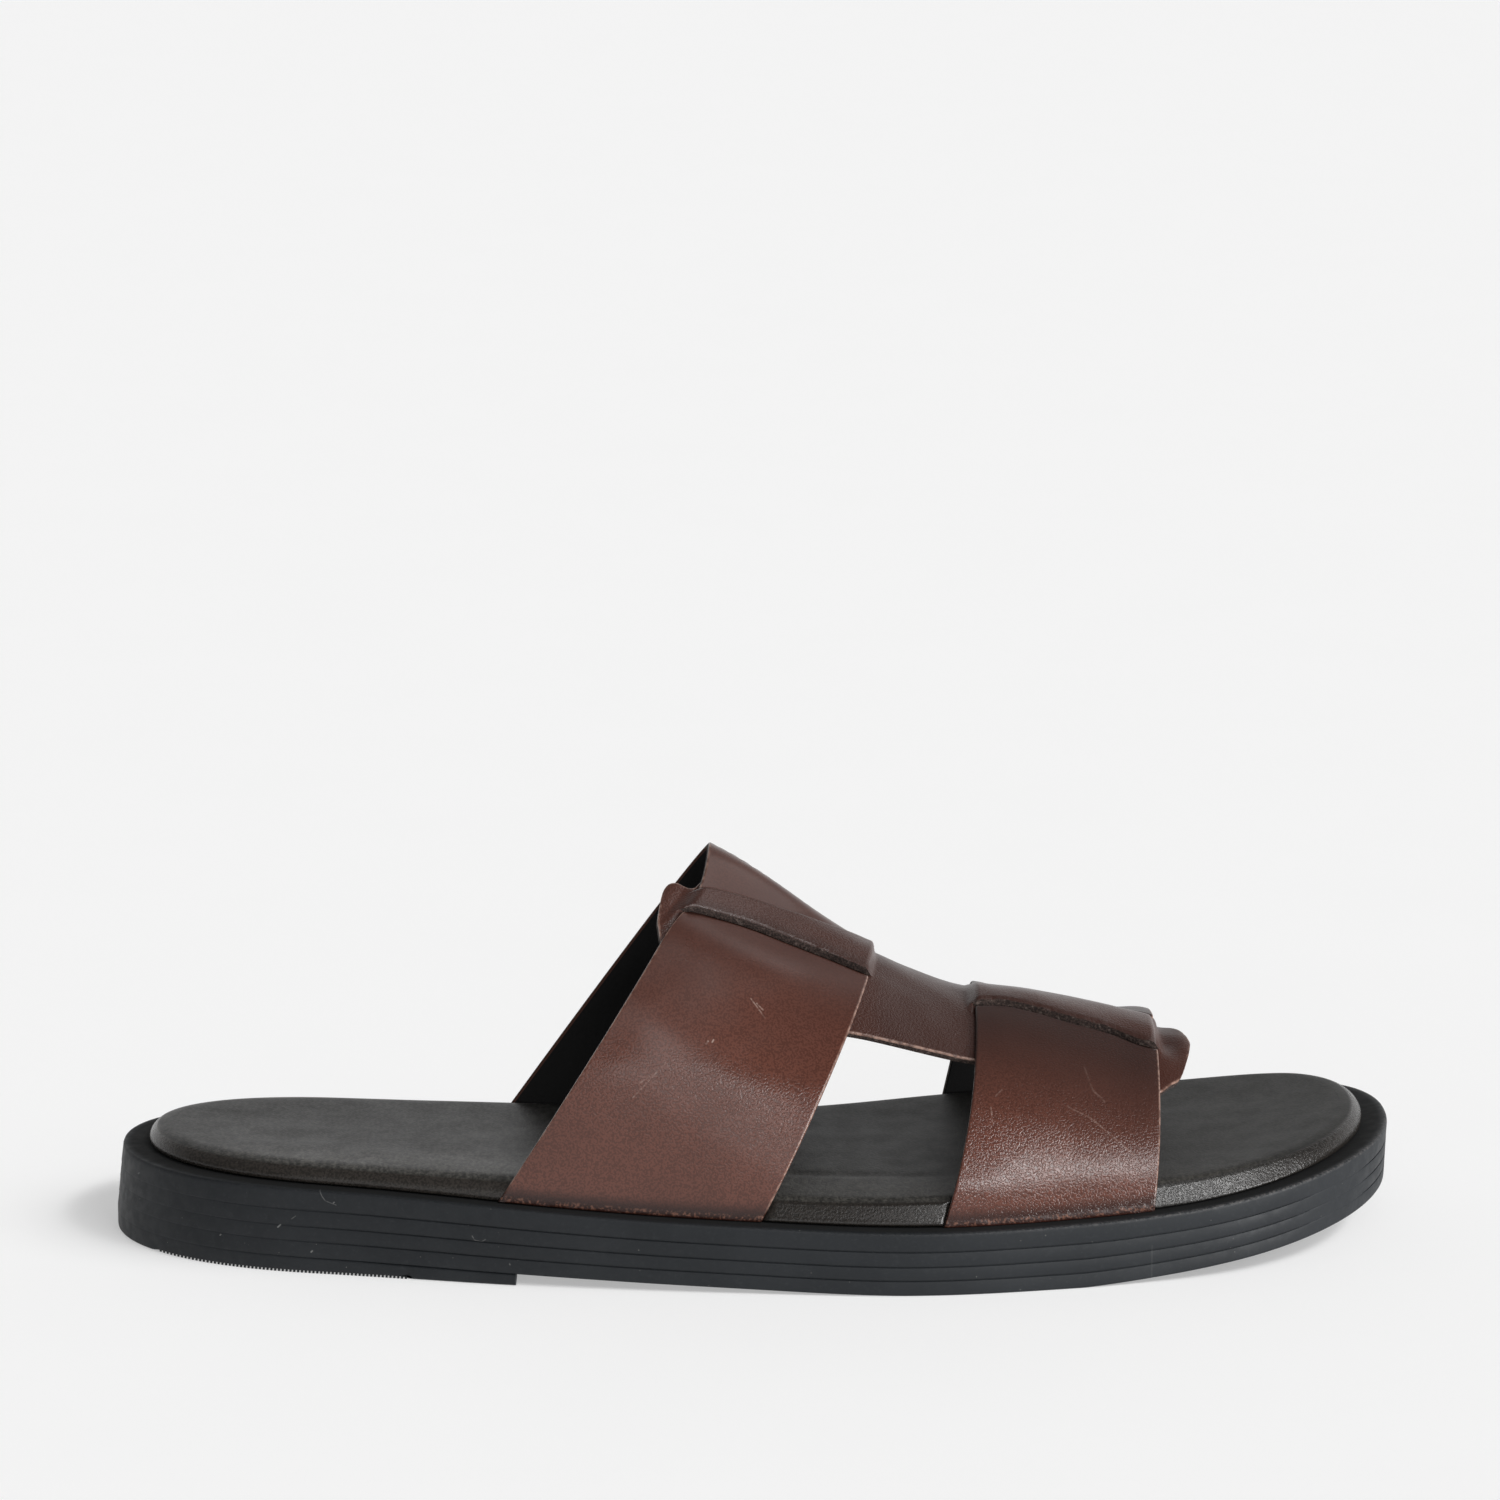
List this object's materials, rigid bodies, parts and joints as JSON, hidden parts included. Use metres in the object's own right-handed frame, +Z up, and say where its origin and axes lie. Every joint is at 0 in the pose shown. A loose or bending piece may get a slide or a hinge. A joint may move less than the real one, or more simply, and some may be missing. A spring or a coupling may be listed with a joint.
{
  "type": "slide sandal",
  "caption": "Open-toe leather slide for the right foot: wide bands woven through a slit centre strap, on a padded footbed and a grooved rubber sole with a low heel.",
  "frame": {"origin": "on the floor, under the middle of the slide's box", "axes": "+X from heel to toe, +Y towards the inner side of the foot, +Z up"},
  "size_m": [0.2894, 0.111, 0.0855],
  "materials": {
    "sole_rubber": "matte",
    "footbed_leather": "satin",
    "strap_leather": "satin"
  },
  "bodies": {
    "root": {"outsole": "sole_rubber", "footbed": "footbed_leather", "upper": "strap_leather"}
  },
  "joints": []
}
